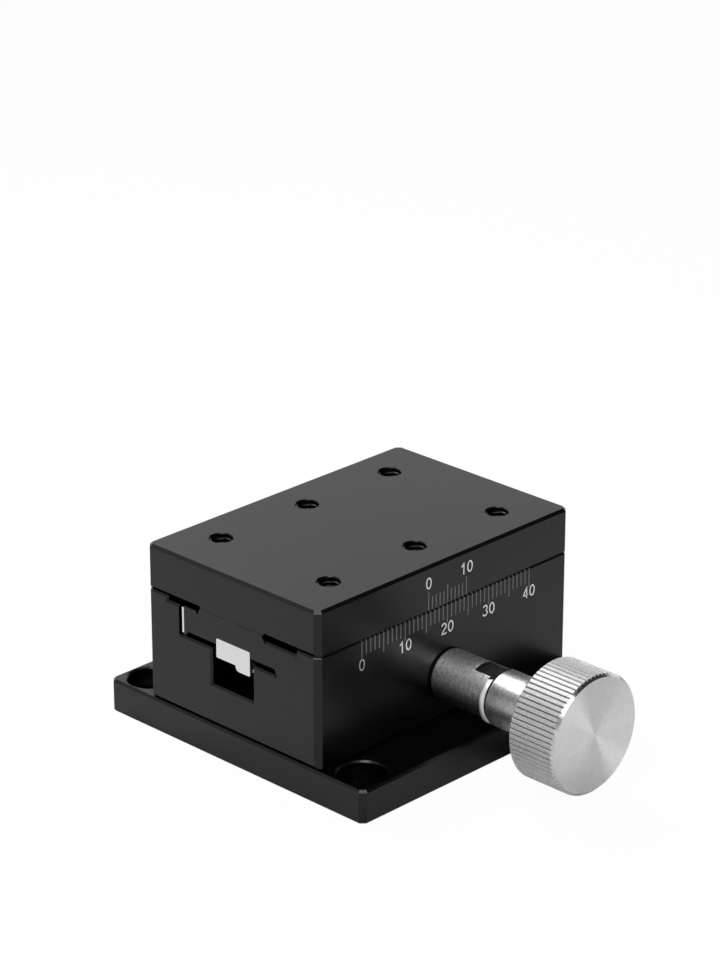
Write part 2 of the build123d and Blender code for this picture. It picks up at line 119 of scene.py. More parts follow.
# %% Wires
class Wire:
    """An output socket. Each arithmetic operator on it adds a Math node."""

    def __init__(self, board, socket):
        self.board = board
        self.socket = socket

    def __add__(self, other):
        return self.board.math("ADD", self, other)

    def __sub__(self, other):
        return self.board.math("SUBTRACT", self, other)

    def __rsub__(self, other):
        return self.board.math("SUBTRACT", other, self)

    def __mul__(self, other):
        return self.board.math("MULTIPLY", self, other)

    def __truediv__(self, other):
        return self.board.math("DIVIDE", self, other)

    def __rtruediv__(self, other):
        return self.board.math("DIVIDE", other, self)

    def __mod__(self, other):
        return self.board.math("MODULO", self, other)

    def __pow__(self, other):
        return self.board.math("POWER", self, other)

    def __lt__(self, other):
        return self.board.math("LESS_THAN", self, other)

    def __gt__(self, other):
        return self.board.math("GREATER_THAN", self, other)

    def __abs__(self):
        return self.board.math("ABSOLUTE", self)

    __radd__ = __add__
    __rmul__ = __mul__


# %% Boards
class Board:
    """A node tree that is being written."""

    def __init__(self, tree):
        self.tree = tree

    def node(self, kind, settings=None, inputs=None, output=0):
        """New node of a type: first its settings, then the values or wires of its sockets."""
        made = self.tree.nodes.new(kind)
        for key, value in (settings or {}).items():
            setattr(made, key, value)
        for key, value in (inputs or {}).items():
            if isinstance(value, Wire):
                self.tree.links.new(value.socket, made.inputs[key])
            else:
                made.inputs[key].default_value = value
        return Wire(self, made.outputs[output]) if made.outputs else made

    def outputs(self, wire):
        """All the outputs of the node that a wire comes from, by name."""
        return {socket.name: Wire(self, socket) for socket in wire.socket.node.outputs}

    def math(self, operation, first, second=0.0):
        return self.node("ShaderNodeMath", {"operation": operation}, {0: first, 1: second})

    def vector(self, operation, first, second=(0.0, 0.0, 0.0), output=0):
        """Vector Math. Output 1 is the number that a length or a dot product gives."""
        return self.node("ShaderNodeVectorMath", {"operation": operation},
                         {0: first, 1: second}, output)

    def scaled(self, vector, factor):
        return self.node("ShaderNodeVectorMath", {"operation": "SCALE"}, {0: vector, 3: factor})

    def xyz(self, **axes):
        return self.node("ShaderNodeCombineXYZ", inputs=axes)

    def parts(self, vector):
        """The X, Y and Z of a vector."""
        return self.outputs(self.node("ShaderNodeSeparateXYZ", inputs={0: vector})).values()

    def mix(self, share, first, second):
        """Colour between two colours; the share is 0 at the first and 1 at the second."""
        return self.node("ShaderNodeMix", {"data_type": "RGBA"}, {0: share, 6: first, 7: second}, 2)

    def grey(self, value):
        """Colour with one value in its three channels."""
        return self.node("ShaderNodeCombineColor", inputs={0: value, 1: value, 2: value})

    def ramp(self, value, from_low, from_high, to_low=0.0, to_high=1.0):
        """A value eased from one range to another and held at the ends."""
        return self.node("ShaderNodeMapRange", {"interpolation_type": "SMOOTHSTEP"}, {
            "Value": value, "From Min": from_low, "From Max": from_high,
            "To Min": to_low, "To Max": to_high})

    def noise(self, place, grain_size, detail, roughness=0.5):
        """Noise from 0 to 1, with grains of a size in metres."""
        return self.node("ShaderNodeTexNoise", inputs={
            "Vector": place, "Scale": 1 / grain_size, "Detail": detail, "Roughness": roughness})

    def normal(self):
        return self.node("ShaderNodeNewGeometry", output="Normal")

    def join(self, *pieces):
        joined = self.node("GeometryNodeJoinGeometry")
        for piece in pieces:
            self.tree.links.new(piece.socket, joined.socket.node.inputs[0])
        return joined


# %% [markdown]
# ## Finishes
# Every visible surface gets its own node material. The patterns read Object coordinates, so they
# keep their real size and travel with the piece. Only colour, roughness and the normal change over
# a surface.

# %% Start and close a finish
def new_finish(name):
    """New material, the board that it is written on, and the place on the piece."""
    material = bpy.data.materials.new(name)
    material.use_nodes = True
    material.node_tree.nodes.clear()
    board = Board(material.node_tree)
    return material, board, board.node("ShaderNodeTexCoord", output="Object")


def close_finish(material, board, shader_inputs):
    surface = board.node("ShaderNodeBsdfPrincipled", inputs=shader_inputs)
    board.node("ShaderNodeOutputMaterial", inputs={"Surface": surface})
    print(material.name, "has", len(material.node_tree.nodes), "nodes")
    return material


def grey(value):
    return (value, value, value, 1.0)


# %% [markdown]
# ### Black anodised aluminium
# The plate, block, table and gib are milled aluminium, fine blasted and dyed black. The oxide is a
# clear hard skin over black, so the base colour is nearly black and the reflection does the rest. A
# very fine blasted grain breaks the reflection, and a slow cloud keeps the large faces from looking
# like one flat tone.

# %% Black anodised finish
blast_grain, blast_depth = 0.10 * mm, 0.002 * mm
cloud_size = 9.0 * mm
dye_dark, dye_light = grey(0.0005), grey(0.0012)
oxide_roughness, cloud_rough, grain_rough = 0.23, 0.06, 0.05
oxide_ior = 1.45


def black_anodised():
    material, board, place = new_finish("black_anodised")
    grain = board.noise(place, blast_grain, 1.0)
    cloud = board.noise(place, cloud_size, 3.0)
    normal = board.node("ShaderNodeBump", inputs={
        "Strength": 0.5, "Distance": blast_depth, "Height": grain})
    return close_finish(material, board, {
        "Base Color": board.mix(cloud, dye_dark, dye_light), "Normal": normal, "IOR": oxide_ior,
        "Roughness": oxide_roughness + cloud_rough * cloud + grain_rough * grain})


anodised = black_anodised()

# %% [markdown]
# ### Turned metal
# A lathe leaves fine rings round the axis. On a flat end they spread each highlight along the
# radius, as on a real turned face; the bright fans on the knob's face are painted into its colour
# as well. Rings this fine are smaller than a pixel, so the normal is tilted directly: along X on the
# rim and along the radius on the ends, by a noise that changes from ring to ring.

# %% Rings of a turned surface
def about_axis(board, place, axis):
    """Distance along X, the vector outwards from the axis, and its length."""
    radial = board.vector("MULTIPLY", board.vector("SUBTRACT", place, axis), (0, 1, 1))
    distance, _, _ = board.parts(place)
    return distance, radial, board.vector("LENGTH", radial, output=1)


def turned_normal(board, place, axis, ring_pitch, tilt):
    distance, radial, radius = about_axis(board, place, axis)

    def ring(where):
        return board.node("ShaderNodeTexNoise", {"noise_dimensions": "1D"}, {
            "W": where, "Scale": 1 / ring_pitch, "Detail": 1.0}) - 0.5

    outward = board.node("ShaderNodeVectorTransform", {
        "vector_type": "VECTOR", "convert_from": "OBJECT", "convert_to": "WORLD"}, {
        0: board.vector("NORMALIZE", radial)})
    normal = board.vector("ADD", board.normal(), board.scaled(outward, ring(radius) * tilt))
    normal = board.vector("ADD", normal, board.scaled((1.0, 0.0, 0.0), ring(distance) * tilt))
    return board.vector("NORMALIZE", normal)


# %% [markdown]
# ### Knob
# The knob's face shows the two bright fans of a fine turned cut. They come from the cut's direction,
# which turns once round the face. Here they are painted highlights: the finish reads the angle round
# the axis and lightens or darkens the face's colour in steps. Each fan has one sharp side. An
# anisotropic shader could draw the fans as reflections, but painted steps by the angle are easy to place.

# %% Painted fans and places on the knob
# Painted highlight: steps of the face's brightness by the share of a half turn round the axis.
painted_fan_steps = ((0.06, 0.47, -0.18), (0.57, 0.71, 0.30), (0.73, 0.88, -0.12))
hub_radius, hub_fillet = 4.85 * mm, 0.1 * mm
knob_radius = (knob_high.z - knob_low.z) / 2
groove_shoulder = 0.12 * mm
face_span, edge_span = (0.90, 0.97), (0.3, 0.5)
print("knob radius", round(knob_radius / mm, 2), "mm, hub radius", round(hub_radius / mm, 2), "mm")


def fans(board, radial):
    """Painted highlight: brightness of the turned face by the angle round the axis, the same on opposite sides."""
    _, level, height = board.parts(radial)
    half_turns = board.math("ARCTAN2", height, level) / math.pi
    share = board.math("FLOORED_MODULO", half_turns, 1.0)
    painted_fan_light = 1.0
    for start, end, change in painted_fan_steps:
        painted_fan_light = painted_fan_light + board.ramp(share, start, end, 0.0, change)
    return painted_fan_light


def knob_masks(board, radius):
    """1 on the knob's turned face, chamfered edge, hub, ribbed rim and grooves, in that order."""
    facing, _, _ = board.parts(board.normal())
    on_face = board.ramp(facing, *face_span)
    on_edge = board.ramp(facing, *edge_span) - on_face
    on_hub = radius < hub_radius + hub_fillet
    on_rim = (1 - on_face) * (1 - on_edge) * (1 - on_hub)
    in_groove = (radius < knob_radius - groove_shoulder) * on_rim
    return on_face, on_edge, on_hub, on_rim, in_groove


# %% [markdown]
# Clear anodised aluminium is a bright metal that fingers wear in streaks. The grooves are darkened
# with painted shade, the ribbing tool speckles the rim, and the chamfered edge is the smoothest cut.
# Each of these is a mask with a gain or a loss of its own, so one finish serves the whole piece.

# %% Knob finish
knob_shade = 0.66
worn_gain, face_gain, rim_speckle = 0.08, 0.14, 0.6
rim_loss, groove_painted_shade = 0.09, 0.27
hub_loss, hub_worn_gain = 0.12, 0.30
knob_tilt, edge_calm, hub_calm = 0.45, 0.30, 0.10
knob_roughness, rim_rough, edge_smooth, hub_rough, streak_rough = 0.29, 0.27, 0.12, 0.04, 0.10
knob_ring_pitch = 0.03 * mm
streak_size, streak_stretch, worn_span = 0.7 * mm, (2.5, 1.0, 1.0), (0.3, 0.7)
speckle_size = 0.22 * mm


def turned_knob():
    material, board, place = new_finish("turned_knob")
    _, radial, radius = about_axis(board, place, shaft_axis)
    on_face, on_edge, on_hub, on_rim, in_groove = knob_masks(board, radius)
    streaks = board.noise(board.vector("MULTIPLY", place, streak_stretch), streak_size, 4.0, 0.7)
    worn = board.ramp(streaks, *worn_span)
    speckle = board.noise(place, speckle_size, 2.0, 0.6) - 0.5
    shade = knob_shade + worn_gain * worn + face_gain * on_face + rim_speckle * speckle * on_rim
    # Painted shade: the grooves between the ribs are darkened.
    shade = shade - rim_loss * on_rim - groove_painted_shade * in_groove
    shade = shade - (1 - on_face) * on_hub * (hub_loss - hub_worn_gain * worn)
    # Painted highlight: the fans lighten and darken the face's colour by the angle round the axis.
    shade = shade * (1 - on_face + on_face * fans(board, radial))
    tilt = knob_tilt - edge_calm * on_edge - hub_calm * on_hub
    roughness = knob_roughness + rim_rough * on_rim - edge_smooth * on_edge
    roughness = roughness + hub_rough * on_hub * (1 - on_face) + streak_rough * (streaks - 0.5)
    return close_finish(material, board, {
        "Base Color": board.grey(shade), "Metallic": 1.0, "Roughness": roughness,
        "Normal": turned_normal(board, place, shaft_axis, knob_ring_pitch, tilt)})


knob_metal = turned_knob()

# %% [markdown]
# ### Nickel plate
# The sleeve and the lock screw are nickel plated over a coarse turned surface, so they look satin
# and blotchy: small bumps turn the reflection up and down, and a slightly lower Metallic scatters a
# part of the light. The milled flat is painted dark, a painted reflection of the black block. It
# lies below the turned radius, so the distance from the axis picks it out. The side that faces up
# and to the front gets painted light and the underside painted shade, so the shade follows the
# normal. Where the sleeve enters the block, a thin dark ring of painted shade stands for the gap.

# %% Plated finish
# Painted light and shade by the normal: the side facing this direction is lighter.
painted_light_side = (0.0, -0.44, 0.90)
painted_lit_shade, painted_light_falloff = 1.07, 1.7
blotch_lift = 1.25
# Painted reflection: the milled flat's dark shade stands for the black block it reflects.
flat_margin, painted_flat_shade = 0.04 * mm, 0.08
painted_ring_shade = 0.97
pit_size, pit_depth = 0.45 * mm, 0.06 * mm
blotch_size, blotch_span, plate_stretch = 0.8 * mm, (0.40, 0.60), (1.5, 1.0, 1.0)
plated_roughness, blotch_smooth = 0.56, 0.20
plated_ring_pitch, plated_tilt = 0.05 * mm, 0.2


def plated(name, axis, full_radius, painted_underside, mottle, ring_shade_end):
    """Nickel plate: painted shade of its underside, its mottle, the X where the painted ring ends."""
    material, board, place = new_finish(name)
    distance, _, radius = about_axis(board, place, axis)
    stretched = board.vector("MULTIPLY", place, plate_stretch)
    pits = board.noise(stretched, pit_size, 3.0, 0.65)
    blotches = board.ramp(board.noise(stretched, blotch_size, 4.0, 0.7), *blotch_span)
    # Painted light and shade: lighter where the normal faces up and to the front, darker below.
    painted_light_facing = board.vector("DOT_PRODUCT", board.normal(), painted_light_side, 1)
    painted_light = board.math("MAXIMUM", painted_light_facing, 0.0) ** painted_light_falloff
    painted_light = painted_underside + (painted_lit_shade - painted_underside) * painted_light
    turned = board.math("MINIMUM", painted_light * (blotch_lift - mottle * (1 - blotches)), 1.0)
    milled = radius < full_radius - flat_margin
    # Painted shade: a thin dark ring where the sleeve enters the block's bore.
    in_painted_ring = distance < ring_shade_end
    shade = turned * (1 - milled) * (1 - painted_ring_shade * in_painted_ring) + painted_flat_shade * milled
    rings = turned_normal(board, place, axis, plated_ring_pitch, plated_tilt)
    bumps = board.node("ShaderNodeBump", inputs={
        "Strength": 1.0, "Distance": pit_depth, "Height": pits, "Normal": rings})
    return close_finish(material, board, {
        "Base Color": board.grey(shade), "Metallic": 0.95, "Normal": bumps,
        "Roughness": plated_roughness - blotch_smooth * blotches})


sleeve_radius = (sleeve_high.z - sleeve_low.z) / 2
# Painted shade: the dark ring runs out to this X from the block's face.
painted_ring_end = block_high.x + 0.42 * mm
no_flat, no_painted_ring = 0.0, -1.0
plated_sleeve = plated("plated_sleeve", sleeve_axis, sleeve_radius, 0.14, 0.70, painted_ring_end)
plated_lock = plated("plated_lock", lock_axis, no_flat, 0.65, 0.30, no_painted_ring)

# %% [markdown]
# ### Ground and plain metals
# The rack, the strip and the pins are ground steel, with fine lines along the slide. The screws are
# black oxide, and the lock pad is brass. They share one recipe: lines or grain in the colour and a
# light bump. A stretch below 1 draws the grain out into lines along that axis.

# %% Ground finish
scratch_depth, scratch_rough = 0.004 * mm, 0.15
along_slide, no_lines = (1.0, 0.15, 1.0), (1.0, 1.0, 1.0)
brass_dark, brass_light = (0.50, 0.34, 0.12, 1), (0.72, 0.52, 0.22, 1)


def ground_finish(name, dark, light, stretch, grain_size, roughness, metallic=1.0):
    material, board, place = new_finish(name)
    lines = board.noise(board.vector("MULTIPLY", place, stretch), grain_size, 3.0, 0.6)
    normal = board.node("ShaderNodeBump", inputs={
        "Strength": 0.4, "Distance": scratch_depth, "Height": lines})
    return close_finish(material, board, {
        "Base Color": board.mix(lines, dark, light), "Metallic": metallic, "Normal": normal,
        "Roughness": roughness + scratch_rough * (lines - 0.5)})


ground_steel = ground_finish("ground_steel", grey(0.78), grey(1.0), along_slide, 0.25 * mm, 0.32)
black_oxide = ground_finish("black_oxide", grey(0.015), grey(0.035), no_lines, 0.3 * mm, 0.38, 0.4)
pad_brass = ground_finish("pad_brass", brass_dark, brass_light, no_lines, 0.3 * mm, 0.3)

# %% [markdown]
# Each imported piece names its kind of material in the record, and that name picks the finish. The
# lock screw has no flat and no painted dark ring, so it gets a plate of its own.

# %% Give the finishes to the imported pieces
slot_finish = {"black_anodised": anodised, "black_steel": black_oxide, "bright_steel": ground_steel,
               "plated_steel": plated_sleeve, "clear_anodised": knob_metal, "brass": pad_brass}
node_finish = {"lock_screw": plated_lock}
for part in frame["record"]["subparts"]:
    finish = node_finish.get(part["node"], slot_finish[part["material_slot"]])
    shown = frame["nodes"][part["node"]]
    shown.data.materials.clear()
    shown.data.materials.append(finish)


# %% [markdown]
# ## Geometry Nodes in a script
# A tree is built once with named inputs for its sizes and then run with values. The modifier's
# inputs are set by the socket's identifier, and the result is read back as a plain mesh, so nothing
# live is left.

# %% Start and close a geometry tree
def new_tree(name, labels):
    """Board of a new geometry tree and its inputs by label. The labels map to socket types."""
    tree = bpy.data.node_groups.new(name, "GeometryNodeTree")
    for label, kind in labels.items():
        tree.interface.new_socket(label, in_out="INPUT", socket_type="NodeSocket" + kind)
    tree.interface.new_socket("Geometry", in_out="OUTPUT", socket_type="NodeSocketGeometry")
    board = Board(tree)
    return board, board.outputs(board.node("NodeGroupInput"))


def close_tree(board, geometry, finish):
    """Ends a tree with real geometry that carries its finish."""
    real = board.node("GeometryNodeRealizeInstances", inputs={0: geometry})
    done = board.node("GeometryNodeSetMaterial", inputs={0: real, "Material": finish})
    board.node("NodeGroupOutput", inputs={0: done})
    print(board.tree.name, "has", len(board.tree.nodes), "nodes")
    return board.tree


# %% Run a geometry tree
def add_piece(name, mesh):
    piece = bpy.data.objects.new(name, mesh)
    bpy.context.scene.collection.objects.link(piece)
    print(name, "has", len(mesh.polygons), "faces")
    return piece


def run_tree(name, tree, values):
    """New piece with the plain mesh that a tree makes from its values."""
    carrier = bpy.data.objects.new(name, bpy.data.meshes.new(name))
    bpy.context.scene.collection.objects.link(carrier)
    modifier = carrier.modifiers.new("grow", "NODES")
    modifier.node_group = tree
    for socket in tree.interface.items_tree:
        if socket.in_out == "INPUT":
            modifier[socket.identifier] = values[socket.name]
    evaluated = carrier.evaluated_get(bpy.context.evaluated_depsgraph_get())
    mesh = bpy.data.meshes.new_from_object(evaluated)
    bpy.data.objects.remove(carrier)
    mesh.name = name
    return add_piece(name, mesh)


# %% [markdown]
# ## Engraved scales
# The block carries a 40 mm scale and the table a vernier of ten divisions over 9 mm. Each mark is a
# narrow bar, a hundredth of a millimetre proud of the face, where the real one is an engraved line
# with dull paint in it. The digits are cut down to bare metal and shine like satin. One tree lays a
# row of marks and makes every fifth and tenth one longer. The marks also run over the edge chamfer,
# which makes the gap between block and table look beaded.

# %% Paint of the marks and metal of the digits
mark_grain, mark_rough = 0.15 * mm, 0.1


def mark_finish(name, dark, light, metallic, roughness):
    material, board, place = new_finish(name)
    grain = board.noise(place, mark_grain, 2.0)
    return close_finish(material, board, {
        "Base Color": board.mix(grain, grey(dark), grey(light)), "Metallic": metallic,
        "Roughness": roughness + mark_rough * grain})


line_paint = mark_finish("line_paint", 0.18, 0.30, 0.0, 0.65)
digit_paint = mark_finish("digit_paint", 0.92, 1.0, 0.9, 0.30)

# %% Tree that lays a row of marks
mark_labels = {"Marks": "Int", "Pitch": "Float", "First": "Vector", "Width": "Float",
               "Proud": "Float", "Short": "Float", "Fifth": "Float", "Tenth": "Float",
               "Direction": "Float", "Edge": "Float", "Finish": "Material"}
bar_length = mm


def mark_tree():
    board, given = new_tree("scale_marks", mark_labels)
    index = board.node("GeometryNodeInputIndex") + 0.25
    length = given["Short"] + (given["Fifth"] - given["Short"]) * (index % 5.0 < 0.5)
    length = length + (given["Tenth"] - given["Fifth"]) * (index % 10.0 < 0.5)
    feet = board.node("GeometryNodeMeshLine", inputs={
        "Count": given["Marks"], "Start Location": given["First"],
        "Offset": board.xyz(Y=given["Pitch"])})
    bar = board.node("GeometryNodeMeshCube", inputs={
        "Size": board.xyz(X=given["Proud"] * 2.0, Y=given["Width"], Z=bar_length)})

    def bars(shift, length, tilt):
        places = board.node("GeometryNodeSetPosition", inputs={"Geometry": feet, "Offset": shift})
        return board.node("GeometryNodeInstanceOnPoints", inputs={
            "Points": places, "Instance": bar, "Rotation": board.xyz(Y=tilt),
            "Scale": board.xyz(X=1.0, Y=1.0, Z=length / bar_length)})

    direction, half_edge = given["Direction"], given["Edge"] / 2.0
    on_face = bars(board.xyz(Z=direction * length / 2.0), length, 0.0)
    on_edge = bars(board.xyz(X=0.0 - half_edge, Z=0.0 - direction * half_edge),
                   given["Edge"] * math.sqrt(2), direction * math.radians(45))
    return close_tree(board, board.join(on_face, on_edge), given["Finish"])


scale_marks = mark_tree()

# %% Lay the two scales
side_x = block_high.x
block_edge, table_edge, table_gap = 0.3 * mm, 0.2 * mm, 0.02 * mm
scale_top = block_high.z - block_edge
vernier_foot = block_high.z + table_gap + table_edge
scale_length, scale_divisions = 40 * mm, 40
vernier_length, vernier_divisions = 9 * mm, 10
each_mark = {"Width": 0.2 * mm, "Proud": 0.008 * mm, "Finish": line_paint}
base_lengths = {"Short": 2.35 * mm, "Fifth": 3.35 * mm, "Tenth": 3.1 * mm}
vernier_lengths = {"Short": 2.3 * mm, "Fifth": 3.2 * mm, "Tenth": 3.2 * mm}
down, up = -1.0, 1.0

base_marks = run_tree("scale_lines", scale_marks, {
    "Marks": scale_divisions + 1, "Pitch": scale_length / scale_divisions,
    "First": (side_x, -scale_length / 2, scale_top),
    "Direction": down, "Edge": block_edge, **base_lengths, **each_mark})
vernier_marks = run_tree("vernier_lines", scale_marks, {
    "Marks": vernier_divisions + 1, "Pitch": vernier_length / vernier_divisions,
    "First": (side_x, -vernier_length / 2, vernier_foot),
    "Direction": up, "Edge": table_edge, **vernier_lengths, **each_mark})

# %% [markdown]
# ### Digits
# Plain numbers stand under every tenth mark and over the vernier's ends. An engraving machine
# follows the middle line of each stroke with one round cutter, so the digits are drawn the same
# way: middle lines in a box one unit high, given an even width. A font would also do, but these
# keep the machine's plain shapes.

# %% Middle lines of the digits
def arc(middle, radii, start, end, steps=14):
    """Points on an ellipse's arc, with its angles in degrees."""
    angles = [math.radians(start + (end - start) * i / steps) for i in range(steps + 1)]
    return [Vector((middle[0] + radii[0] * math.cos(angle), middle[1] + radii[1] * math.sin(angle)))
            for angle in angles]


def line(*points):
    return [Vector(point) for point in points]


digit_strokes = {
    "0": [arc((0, 0.5), (0.255, 0.435), 0, 360, 28)],
    "1": [line((-0.19, 0.70), (-0.06, 0.78), (0.05, 0.93)), line((0.075, 1.0), (0.075, 0.0))],
    "2": [arc((0, 0.69), (0.25, 0.245), 165, -25) + line((-0.10, 0.27), (-0.26, 0.07)),
          line((-0.30, 0.065), (0.30, 0.065))],
    "3": [arc((0, 0.725), (0.215, 0.21), 160, -90), arc((0, 0.29), (0.25, 0.225), 90, -165)],
    "4": [line((0.13, 0.0), (0.13, 1.0)), line((0.12, 0.93), (-0.27, 0.29)),
          line((-0.31, 0.28), (0.31, 0.28))]}
print("digits drawn:", " ".join(digit_strokes))

# %% [markdown]
# A stroke is a chain of small four-cornered rings with bands of faces between them. BMesh is
# Blender's tool for faces that a script lays one by one. The faces point outwards once their
# normals are recalculated, which a closed shell allows.

# %% Bands of faces and plain meshes
def add_band(shared, first, second):
    """Band of faces between two rings of corners."""
    for k in range(len(first)):
        after = (k + 1) % len(first)
        shared.faces.new((first[k], first[after], second[after], second[k]))


def close_mesh(shared, name, finish):
    """Plain mesh from shared corners, with its faces outwards."""
    bmesh.ops.recalc_face_normals(shared, faces=shared.faces)
    mesh = bpy.data.meshes.new(name)
    shared.to_mesh(mesh)
    shared.free()
    mesh.materials.append(finish)
    return mesh


# %% Cut one stroke
same_point = 1e-6


def add_stroke(shared, points, half_width, place):
    """Closed bar of even width along a middle line. The place makes corners of flat points."""
    closed = (points[0] - points[-1]).length < same_point
    if closed:
        points = points[:-1]
    rings = []
    for i, point in enumerate(points):
        before = points[i - 1] if i or closed else point
        after = points[(i + 1) % len(points)] if i + 1 < len(points) or closed else point
        along = (after - before).normalized()
        side = Vector((-along.y, along.x)) * half_width
        corners = ((point + side, 1), (point - side, 1), (point - side, -1), (point + side, -1))
        rings.append([shared.verts.new(place(flat, depth)) for flat, depth in corners])
    for first, second in zip(rings, rings[1:] + rings[:1] if closed else rings[1:]):
        add_band(shared, first, second)
    if not closed:
        shared.faces.new(rings[0])
        shared.faces.new(rings[-1])


# %% Write the numbers
digit_proud, digit_height = 0.008 * mm, 2.1 * mm
digit_spacing, stroke_share = 0.78, 0.122
base_level = scale_top - 5.05 * mm
vernier_level = vernier_foot + 3.75 * mm


def write_numbers(name, labels, height, level):
    """One piece of numbers on the side face. The labels map each text to its place along it."""
    shared = bmesh.new()
    for text, along in labels.items():
        for i, digit in enumerate(text):
            shift = (i - (len(text) - 1) / 2) * digit_spacing

            def place(flat, depth):
                return (side_x + depth * digit_proud, along + (flat.x + shift) * height,
                        level + flat.y * height)

            for stroke in digit_strokes[digit]:
                add_stroke(shared, stroke, stroke_share / 2, place)
    return add_piece(name, close_mesh(shared, name, digit_paint))


base_texts = {str(mark): (mark - scale_divisions / 2) * mm for mark in range(0, 41, 10)}
vernier_texts = {"0": -vernier_length / 2, "10": vernier_length / 2}
base_numbers = write_numbers("scale_numbers", base_texts, digit_height, base_level)
vernier_numbers = write_numbers("vernier_numbers", vernier_texts, digit_height, vernier_level)

# %% [markdown]
# ## Threads in the table's tapped holes
# The model's six holes are plain, at the thread's outer diameter. The thread itself is a ridge that
# winds down the wall. A Screw modifier could turn it, but here it is a spiral curve swept with a
# small four-sided section, because the same tree can then set one copy in each hole.

# %% Tree that winds the threads
thread_labels = {"Pitch": "Float", "Turns": "Float", "Wall Radius": "Float", "Depth": "Float",
                 "Foot Width": "Float", "Crest Width": "Float", "Hole Spacing": "Vector",
                 "Bottom": "Float", "Finish": "Material"}
steps_per_turn = 36


def thread_tree():
    board, given = new_tree("tapped_threads", thread_labels)
    spiral = board.node("GeometryNodeCurveSpiral", inputs={
        "Resolution": steps_per_turn, "Rotations": given["Turns"],
        "Start Radius": given["Wall Radius"], "End Radius": given["Wall Radius"],
        "Height": given["Turns"] * given["Pitch"]})
    spiral = board.node("GeometryNodeSetCurveNormal", {"mode": "Z_UP"}, {0: spiral})
    section = board.node("GeometryNodeCurvePrimitiveQuadrilateral", {"mode": "TRAPEZOID"}, {
        "Bottom Width": given["Foot Width"], "Top Width": given["Crest Width"],
        "Height": given["Depth"], "Offset": 0.0})
    section = board.node("GeometryNodeTransform", inputs={
        "Geometry": section, "Rotation": (0.0, 0.0, math.radians(90))})
    ridge = board.node("GeometryNodeCurveToMesh", inputs={
        "Curve": spiral, "Profile Curve": section, "Fill Caps": True})
    across, along, _ = board.parts(given["Hole Spacing"])
    places = board.node("GeometryNodeMeshGrid", inputs={
        "Size X": across, "Size Y": along * 2.0, "Vertices X": 2, "Vertices Y": 3})
    places = board.node("GeometryNodeSetPosition", inputs={
        "Geometry": places, "Offset": board.xyz(Z=given["Bottom"])})
    ridges = board.node("GeometryNodeInstanceOnPoints", inputs={
        "Points": places, "Instance": ridge})
    return close_tree(board, ridges, given["Finish"])


# %% Wind the threads
hole_radius = 2.0 * mm
spacing_x, spacing_y = 25 * mm, 20 * mm
threads = run_tree("table_threads", thread_tree(), {
    "Pitch": 0.7 * mm, "Turns": 10.4, "Wall Radius": hole_radius - 0.16 * mm, "Depth": 0.36 * mm,
    "Foot Width": 0.6 * mm, "Crest Width": 0.1 * mm, "Hole Spacing": (spacing_x, spacing_y, 0.0),
    "Bottom": block_high.z + 0.3 * mm, "Finish": anodised})
corner_hole = Vector((spacing_x / 2, spacing_y, 0))
corner_radii = [(v.co - corner_hole).xy.length for v in threads.data.vertices
                if v.co.x > 0 and v.co.y > spacing_y / 2]
print("thread radius", in_mm([min(corner_radii), max(corner_radii)]), "mm")

# %% [markdown]
# ## Thrust washer
# The washer between sleeve and knob has a broad rounded shoulder, which catches the light as a
# bright crescent. The model's washer is plain, so this ring takes its place. Its section is turned
# round the shaft's axis: a lathe does the same, and Blender's Spin or a Screw modifier would, but
# rings of corners are quick to write.

# %% Turn a ring
sharp_angle = math.radians(35)


def turn_ring(name, section, axis, steps, flat_heights, finish):
    """Ring with a section of (x, radius) points, turned round an axis along X and cut flat."""
    shared = bmesh.new()
    rings = []
    for step in range(steps):
        angle = 2 * math.pi * step / steps
        rings.append([shared.verts.new((
            x, axis.y + radius * math.cos(angle), axis.z + radius * math.sin(angle)))
            for x, radius in section])
    for first, second in zip(rings, rings[1:] + rings[:1]):
        add_band(shared, first, second)
    for height in flat_heights:
        everything = list(shared.verts) + list(shared.edges) + list(shared.faces)
        side = 1 if height > axis.z else -1
        cut = bmesh.ops.bisect_plane(shared, geom=everything, plane_co=(0, 0, height),
                                     plane_no=(0, 0, side), clear_outer=True)
        rim = [piece for piece in cut["geom_cut"] if isinstance(piece, bmesh.types.BMEdge)]
        bmesh.ops.contextual_create(shared, geom=rim)
    mesh = close_mesh(shared, name, finish)
    mesh.shade_smooth()
    mesh.set_sharp_from_angle(angle=sharp_angle)
    return add_piece(name, mesh)


# %% [markdown]
# The shoulder is bright and satin. The two milled flats and the end towards the knob are painted
# dark: painted shade on the end and slit wall by the knob, a painted reflection of the black block
# on the flats. The flats are the places away from the bore whose normal points straight up or down.

# %% Washer finish
washer_grain, flat_from_axis = 0.5 * mm, 3.9 * mm
washer_shade, washer_shade_gain, painted_dark_shade = 0.78, 0.14, 0.05
washer_roughness, washer_grain_rough = 0.40, 0.10
straight_up, towards_knob = 0.995, 0.97


def washer_finish():
    material, board, place = new_finish("washer_metal")
    _, _, radius = about_axis(board, place, shaft_axis)
    along, _, upright = board.parts(board.normal())
    on_flat = (abs(upright) > straight_up) * (radius > flat_from_axis)
    # Painted shade and reflection: the flats and the faces towards the knob get a dark colour.
    painted_dark = board.math("MAXIMUM", on_flat, along > towards_knob)
    grain = board.noise(place, washer_grain, 3.0, 0.6)
    shade = (washer_shade + washer_shade_gain * grain) * (1 - painted_dark) + painted_dark_shade * painted_dark
    return close_finish(material, board, {
        "Base Color": board.grey(shade), "Metallic": 0.85,
        "Roughness": washer_roughness + washer_grain_rough * (grain - 0.5)})


